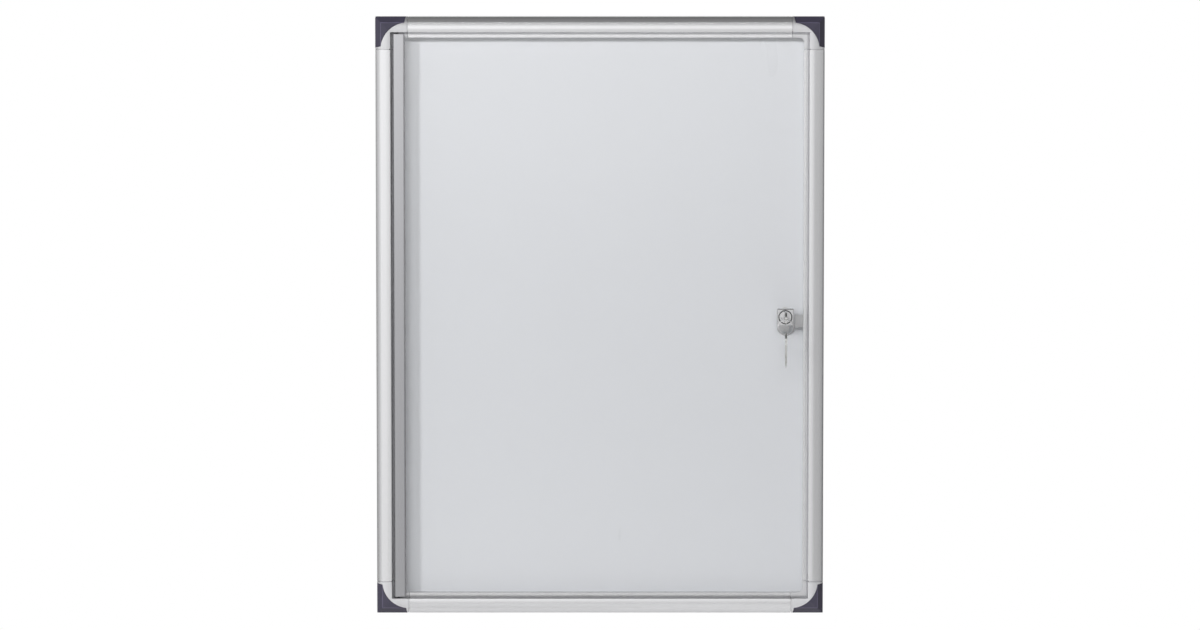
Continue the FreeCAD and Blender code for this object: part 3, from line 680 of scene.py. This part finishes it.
def coil(name, profile, turns, rise, steps, turn=0.0):
    """Sweeps a closed outline of (radius, height) points round Y and closes its two ends."""
    mesh = bpy.data.meshes.new(name)
    count = len(profile)
    rim = [(k, (k + 1) % count) for k in range(count)]
    mesh.from_pydata([(reach, height, 0) for reach, height in profile], rim, [])
    item = bpy.data.objects.new(name, mesh)
    bpy.context.scene.collection.objects.link(item)
    applied(
        item, "SCREW", axis="Y", angle=turns * 2 * math.pi, screw_offset=rise * turns,
        steps=steps * turns, render_steps=steps * turns, use_smooth_shade=False,
    )
    bpy.ops.object.mode_set(mode="EDIT")
    bpy.ops.mesh.select_all(action="SELECT")
    bpy.ops.mesh.fill_holes(sides=0)
    bpy.ops.mesh.select_all(action="SELECT")
    bpy.ops.mesh.normals_make_consistent(inside=False)
    bpy.ops.object.mode_set(mode="OBJECT")
    item.rotation_euler = (0, turn, 0)
    return settled(item)


# Sizes and colours that a user would change

class NoticeBoardFinish(bpy.types.PropertyGroup):
    aluminium: bpy.props.FloatVectorProperty(
        name="Aluminium", description="Colour of the anodised bars", subtype="COLOR",
        size=3, min=0, max=1, default=(0.86, 0.86, 0.875),
    )
    rail: bpy.props.FloatVectorProperty(
        name="Hinge bar", description="Colour of the bright hinge bar", subtype="COLOR",
        size=3, min=0, max=1, default=(0.56, 0.56, 0.58),
    )
    corner: bpy.props.FloatVectorProperty(
        name="Corner", description="Colour of the silver mouldings", subtype="COLOR",
        size=3, min=0, max=1, default=(0.86, 0.86, 0.88),
    )
    cap: bpy.props.FloatVectorProperty(
        name="Cap", description="Colour of the corner caps", subtype="COLOR",
        size=3, min=0, max=1, default=(0.050, 0.046, 0.070),
    )
    panel: bpy.props.FloatVectorProperty(
        name="Panel", description="Colour of the writing panel", subtype="COLOR",
        size=3, min=0, max=1, default=(0.78, 0.795, 0.825),
    )
    pane: bpy.props.FloatVectorProperty(
        name="Pane", description="Tint of the clear door", subtype="COLOR",
        size=3, min=0, max=1, default=(0.95, 0.955, 0.955),
    )


class NoticeBoardStudio(bpy.types.PropertyGroup):
    camera_distance: bpy.props.FloatProperty(
        name="Camera distance", description="From the camera to the middle of the board",
        unit="LENGTH", min=0.5, default=6.0,
    )
    camera_rise: bpy.props.FloatProperty(
        name="Camera rise", description="How far above level the camera looks down from",
        subtype="ANGLE", min=0, default=math.radians(5),
    )
    floor_drop: bpy.props.FloatProperty(
        name="Floor drop", description="From the bottom of the board down to the floor",
        unit="LENGTH", min=0.0, default=0.26,
    )
    front_power: bpy.props.FloatProperty(
        name="Front lamp", description="Power of the soft lamp above the camera in watts",
        min=0, default=128.0,
    )
    side_power: bpy.props.FloatProperty(
        name="Side lamp", description="Power of the soft lamp at the left in watts",
        min=0, default=84.0,
    )
    rear_power: bpy.props.FloatProperty(
        name="Rear lamp", description="Power of the soft lamp behind the board in watts",
        min=0, default=150.0,
    )
    surround: bpy.props.FloatProperty(
        name="Surround", description="Share of the tent that lights what is not glossy",
        min=0, default=0.2,
    )


# Pieces

class FrameBars(bpy.types.Operator):
    """The four extruded bars"""

    bl_idname = "notice_board.frame_bars"
    bl_label = "Frame bars"

    def execute(self, context):
        coat(anodised("anodised_across", 0), "frame_bar_top", "frame_bar_bottom")
        coat(anodised("anodised_upright", 2), "frame_bar_left", "frame_bar_right")
        return {"FINISHED"}


class Corners(bpy.types.Operator):
    """The four moulded corners, their edges rounded as a mould leaves them"""

    bl_idname = "notice_board.corners"
    bl_label = "Corners"

    def execute(self, context):
        finish = silver_moulding()
        for place in PLACES:
            node = "corner_" + place
            item = copied(node, "moulding_" + place)
            softened(item, CORNER_EDGE, lambda point: point.y < -CORNER_SOFT_FROM, clamp=False)
            fitted(item, finish, "frame", "corner_plastic", node)
        return {"FINISHED"}


class Caps(bpy.types.Operator):
    """The four corner caps"""

    bl_idname = "notice_board.caps"
    bl_label = "Corner caps"

    def execute(self, context):
        finish = navy_moulding()
        for place in PLACES:
            node = "corner_cap_" + place
            item = copied(node, "cap_" + place)
            softened(
                item, CAP_EDGE, lambda point: point.y < -CAP_SOFT_FROM,
                clamp=False, sharp=CAP_SHARP,
            )
            fitted(item, finish, "frame", "cap_plastic", node)
        return {"FINISHED"}


class CornerScrews(bpy.types.Operator):
    """The countersunk screws in the back, with their driver recesses"""

    bl_idname = "notice_board.corner_screws"
    bl_label = "Corner screws"

    def execute(self, context):
        item = copied("corner_screws", "leg_screws")
        for seat in round_heads(item, lambda point: point.y > -SEAT):
            recess = cross_cutter(seat, (0, -1, 0), LEG_RECESS_REACH, RECESS_WIDTH, LEG_RECESS_DEPTH)
            cut(item, recess)
        softened(item, SCREW_EDGE)
        fitted(item, zinc_plate(), "frame", "screw_steel", "corner_screws")
        return {"FINISHED"}


class Panel(bpy.types.Operator):
    """The writing panel, its core and its backing sheet"""

    bl_idname = "notice_board.panel"
    bl_label = "Writing panel"

    def execute(self, context):
        coat(panel_lacquer(), "writing_panel")
        coat(plain("core_board", (0.50, 0.38, 0.25), 0.8, 900.0, 0.0002), "panel_core")
        coat(zinc_sheet(), "panel_back_sheet")
        return {"FINISHED"}


class Door(bpy.types.Operator):
    """The hinge bar and the clear pane with its rounded edges"""

    bl_idname = "notice_board.door"
    bl_label = "Door"

    def execute(self, context):
        bar = softened(copied("door_hinge_bar", "hinge_rail"), RAIL_EDGE)
        fitted(bar, hinge_rail_finish(), "door", "frame_aluminium", "door_hinge_bar")
        pane = softened(copied("door_pane", "pane"), PANE_EDGE)
        fitted(pane, clear_sheet(), "door", "clear_pane", "door_pane")
        return {"FINISHED"}


class Hinges(bpy.types.Operator):
    """The hinge pins and the bushes that they turn in"""

    bl_idname = "notice_board.hinges"
    bl_label = "Hinges"

    def execute(self, context):
        drawn = plated("drawn_pin", (0.60, 0.60, 0.60), 0.22)
        nylon = plain("nylon", (0.05, 0.05, 0.055), 0.45, 500.0, 0.00003)
        for place in ("top", "bottom"):
            pin = softened(copied("hinge_pin_" + place, "pin_" + place), SMALL_EDGE)
            fitted(pin, drawn, "door", "pin_steel", "hinge_pin_" + place)
            bush = softened(copied("hinge_bush_" + place, "bush_" + place), SMALL_EDGE)
            fitted(bush, nylon, "frame", "bush_nylon", "hinge_bush_" + place)
        return {"FINISHED"}


class Lock(bpy.types.Operator):
    """The lock's housing with its threaded barrel, the washer and nut, the plug and the cam"""

    bl_idname = "notice_board.lock"
    bl_label = "Lock"

    def execute(self, context):
        housing = copied("lock_housing", "housing", convex=True)
        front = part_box("lock_housing")[0][1] + SEAT
        groove = GROOVE_RADIUS + GROOVE_HALF
        softened(housing, HEAD_EDGE, lambda point: point.y < front and abs(point.z) > groove)
        cut(housing, self.groove_cutter())
        cut(housing, self.thread_cutter())
        smoothed(housing, sharp=HEAD_SHARP)
        # The groove round the plug gets painted shade
        shaded_nickel = plated("satin_nickel", painted_shade=groove_shade_mask, **LOCK_PLATE)
        fitted(housing, shaded_nickel, "door", "lock_nickel", "lock_housing")
        dull = plated("dull_nickel", (0.72, 0.72, 0.72), 0.40, bump=0.03, metal=0.4)
        for node in ("lock_washer", "lock_nut"):
            item = softened(copied(node, node.removeprefix("lock_")), SMALL_EDGE)
            fitted(item, dull, "door", "lock_nickel", node)
        plug = softened(copied("lock_plug", "plug"), PLUG_EDGE)
        clean = plated("plug_plate", **LOCK_PLATE)
        fitted(plug, clean, "lock_cylinder", "plug_nickel", "lock_plug")
        cam = softened(copied("lock_cam", "cam"), SMALL_EDGE)
        fitted(cam, pressed_steel(), "lock_cylinder", "strike_steel", "lock_cam")
        screw = softened(copied("cam_screw", "cam_bolt"), SMALL_EDGE)
        fitted(screw, zinc_plate(), "lock_cylinder", "screw_steel", "cam_screw")
        return {"FINISHED"}

    @staticmethod
    def groove_cutter():
        """A deep narrow ring round the plug, in the front of the housing."""
        centre = middle("lock_plug")
        centre.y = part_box("lock_housing")[0][1]
        bpy.ops.object.select_all(action="DESELECT")
        bpy.ops.mesh.primitive_torus_add(
            major_radius=GROOVE_RADIUS, minor_radius=GROOVE_HALF,
            major_segments=RING_STEPS, minor_segments=GROOVE_STEPS,
            location=centre, rotation=(math.pi / 2, 0, 0),
        )
        cutter = bpy.context.object
        cutter.scale = (1, 1, GROOVE_DEPTH / GROOVE_HALF)
        return settled(cutter)

    @staticmethod
    def thread_cutter():
        """A V groove that winds along the barrel from its end to behind the washer."""
        centre = middle("lock_plug")
        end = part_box("lock_housing")[1][1]
        outside = BARREL_RADIUS + THREAD_CLEAR
        root = BARREL_RADIUS - THREAD_DEPTH
        half = THREAD_PITCH / 2 * THREAD_FILL
        turns = int((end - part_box("lock_washer")[1][1]) / THREAD_PITCH) + 1
        profile = [(root, 0), (outside, half), (outside, -half)]
        cutter = coil("thread", profile, turns, THREAD_PITCH, THREAD_STEPS)
        low = min(point.co.y for point in cutter.data.vertices)
        high = max(point.co.y for point in cutter.data.vertices)
        last_turn = high if high > -low else low
        cutter.location = (centre.x, end - last_turn + THREAD_PITCH / 2, centre.z)
        return settled(cutter)


class Strike(bpy.types.Operator):
    """The strike bracket and its two screws"""

    bl_idname = "notice_board.strike"
    bl_label = "Strike"

    def execute(self, context):
        plate = softened(copied("strike_plate", "strike"), SMALL_EDGE)
        fitted(plate, pressed_steel(), "frame", "strike_steel", "strike_plate")
        screws = copied("strike_screws", "strike_bolts")
        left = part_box("strike_screws")[0][0]
        for seat in round_heads(screws, lambda point: point.x < left + SEAT):
            recess = cross_cutter(seat, (1, 0, 0), PAN_RECESS_REACH, RECESS_WIDTH, PAN_RECESS_DEPTH)
            cut(screws, recess)
        softened(screws, SCREW_EDGE)
        fitted(screws, zinc_plate(), "frame", "screw_steel", "strike_screws")
        return {"FINISHED"}


class Keys(bpy.types.Operator):
    """The key in the lock, the spare key and the split ring that joins them"""

    bl_idname = "notice_board.keys"
    bl_label = "Keys"

    def execute(self, context):
        nickel = plated("key_plate", (0.78, 0.78, 0.77), 0.16, metal=0.95)
        first = softened(copied("key_in_lock", "lock_key"), KEY_EDGE)
        fitted(first, nickel, "key", "key_nickel", "key_in_lock")
        second = softened(copied("spare_key", "second_key"), KEY_EDGE)
        fitted(second, nickel, "spare", "key_nickel", "spare_key")
        ring = coil(
            "split_ring", self.wire_outline(), 2, RING_WIRE_HEIGHT * RING_COIL_RISE,
            RING_STEPS, RING_END_ANGLE,
        )
        depths = [point.co.y for point in ring.data.vertices]
        ring.location = middle("key_ring") - Vector((0, (min(depths) + max(depths)) / 2, 0))
        spring = plated("spring_steel", (0.66, 0.66, 0.67), 0.16)
        fitted(smoothed(settled(ring)), spring, "ring", "ring_steel", "key_ring")
        return {"FINISHED"}

    @staticmethod
    def wire_outline():
        """Section of the ring's flat wire with its rounded edges, as (radius, height) points."""
        low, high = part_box("key_ring")
        outer = (high[0] - low[0]) / 2
        inner = outer - RING_WIRE_WIDTH
        half = RING_WIRE_HEIGHT / 2
        rim = RING_WIRE_WIDTH / 4
        upper = [(inner, half * 0.5), (inner + rim / 2, half), (outer - rim, half), (outer, half * 0.4)]
        lower = [(reach, -height) for reach, height in reversed(upper)]
        return upper + lower


# Studio

def lamp(name, aim, power, stand, size):
    """A soft rectangular lamp, its stand measured from the point that it is aimed at."""
    data = bpy.data.lights.new(name, "AREA")
    data.shape = "RECTANGLE"
    data.size, data.size_y = size
    data.energy = power
    item = bpy.data.objects.new(name, data)
    bpy.context.scene.collection.objects.link(item)
    item.location = aim + Vector(stand)
    item.rotation_euler = (-Vector(stand)).to_track_quat("-Z", "Y").to_euler()
    item.visible_glossy = False


def greys(stops):
    """Stops of a ramp from pairs of place and brightness."""
    return [(place, (value,) * 3) for place, value in stops]


def surround(fill):
    """White to the eye; metal and gloss see a tent that is bright in front and dark above."""
    world = bpy.data.worlds.new("studio")
    world.use_nodes = True
    bpy.context.scene.world = world
    sheet = Sheet(world.node_tree)
    across, depth, up = sheet.axes(sheet.coordinates("Generated"))
    by_height = sheet.node("ShaderNodeValToRGB", dict(stops=greys(TENT_BY_HEIGHT)), up * 0.5 + 0.5)
    by_side = sheet.node("ShaderNodeValToRGB", dict(stops=greys(TENT_BY_SIDE)), across * 0.5 + 0.5)
    tent = sheet.node("ShaderNodeVectorMath", dict(operation="MULTIPLY"), by_height, by_side)
    path = sheet.node("ShaderNodeLightPath", {})
    seen = path.other("Is Camera Ray")
    clear = path.other("Is Transmission Ray")
    gloss = path.other("Is Glossy Ray")
    share = (gloss * (1 - fill) + fill) * (1 - (depth > TENT_BACK_FROM) * TENT_BACK_DIMMER)
    room = sheet.node("ShaderNodeVectorMath", dict(operation="SCALE"), tent, Scale=share)
    colour = sheet.mixed((seen + clear).clamped(), room, (1.0, 1.0, 1.0))
    sheet.surface(sheet.node("ShaderNodeBackground", {}, Color=colour, Strength=1.0))


def pale_floor(height):
    """A round pale floor that keeps the shadow and fades out at its rim."""
    bpy.ops.object.select_all(action="DESELECT")
    bpy.ops.mesh.primitive_circle_add(
        vertices=96, radius=FLOOR_RADIUS, fill_type="NGON", location=(0, 0, height),
    )
    floor = bpy.context.object
    floor.name = "floor"
    bpy.ops.object.transform_apply(location=True)
    material, sheet = finish_sheet("pale_floor")
    length = dict(operation="LENGTH")
    reach = sheet.node("ShaderNodeVectorMath", length, sheet.coordinates()).other("Value")
    fade = sheet.node("ShaderNodeMapRange", {}, reach, FLOOR_FADE_FROM, FLOOR_FADE_TO, 0.0, 1.0)
    shaded = sheet.node("ShaderNodeBsdfDiffuse", {}, Color=(0.90, 0.90, 0.90))
    paper = sheet.node("ShaderNodeEmission", {}, Color=(1.0, 1.0, 1.0), Strength=1.0)
    seen = sheet.node("ShaderNodeLightPath", {}).other("Is Camera Ray")
    solid = sheet.node("ShaderNodeMixShader", {}, seen * FLOOR_GLOW, shaded, paper)
    clear = sheet.node("ShaderNodeBsdfTransparent", {})
    sheet.surface(sheet.node("ShaderNodeMixShader", {}, fade, solid, clear))
    floor.data.materials.append(material)


class SetStudio(bpy.types.Operator):
    """Sets up the camera, the lamps, the pale surround and the floor"""

    bl_idname = "notice_board.set_studio"
    bl_label = "Studio"

    def execute(self, context):
        studio = context.scene.notice_board_studio
        bottom = cad_box[0][2]
        front = -SILHOUETTE_HEIGHT
        data = bpy.data.cameras.new("camera")
        camera = bpy.data.objects.new("camera", data)
        context.scene.collection.objects.link(camera)
        rise = studio.camera_rise
        away = Vector((0, -math.cos(rise), math.sin(rise))) * studio.camera_distance
        camera.location = Vector((0, front, AIM_HEIGHT)) + away
        camera.rotation_euler = (math.radians(90) - rise, 0, 0)
        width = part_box("frame_bar_right")[1][0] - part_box("frame_bar_left")[0][0]
        shown = width * PHOTO_WIDTH / (BOARD_RIGHT - BOARD_LEFT)
        data.lens = data.sensor_width * studio.camera_distance / shown
        context.scene.camera = camera
        aim = Vector((0, front, 0))
        lamp("front_lamp", aim, studio.front_power, **FRONT_LAMP)
        lamp("side_lamp", aim, studio.side_power, **SIDE_LAMP)
        lamp("rear_lamp", aim, studio.rear_power, **REAR_LAMP)
        surround(studio.surround)
        pale_floor(bottom - studio.floor_drop)
        context.scene.view_settings.view_transform = "Standard"
        return {"FINISHED"}


class NoticeBoardPanel(bpy.types.Panel):
    bl_idname = "VIEW3D_PT_notice_board"
    bl_label = "Notice Board"
    bl_space_type = "VIEW_3D"
    bl_region_type = "UI"
    bl_category = "Notice Board"

    def draw(self, context):
        for group in (context.scene.notice_board_finish, context.scene.notice_board_studio):
            for name in group.__annotations__:
                self.layout.prop(group, name)
        for step in STEPS:
            self.layout.operator(step.bl_idname)


GROUPS = (NoticeBoardFinish, NoticeBoardStudio)
STEPS = (
    FrameBars, Corners, Caps, CornerScrews, Panel, Door, Hinges, Lock, Strike, Keys, SetStudio,
)


def register():
    for kind in GROUPS + STEPS + (NoticeBoardPanel,):
        bpy.utils.register_class(kind)
    bpy.types.Scene.notice_board_finish = bpy.props.PointerProperty(type=NoticeBoardFinish)
    bpy.types.Scene.notice_board_studio = bpy.props.PointerProperty(type=NoticeBoardStudio)


def unregister():
    del bpy.types.Scene.notice_board_studio
    del bpy.types.Scene.notice_board_finish
    for kind in reversed(GROUPS + STEPS + (NoticeBoardPanel,)):
        bpy.utils.unregister_class(kind)


def main():
    register()
    for step in STEPS:
        group, name = step.bl_idname.split(".")
        getattr(getattr(bpy.ops, group), name)()


if __name__ == "__main__":
    main()
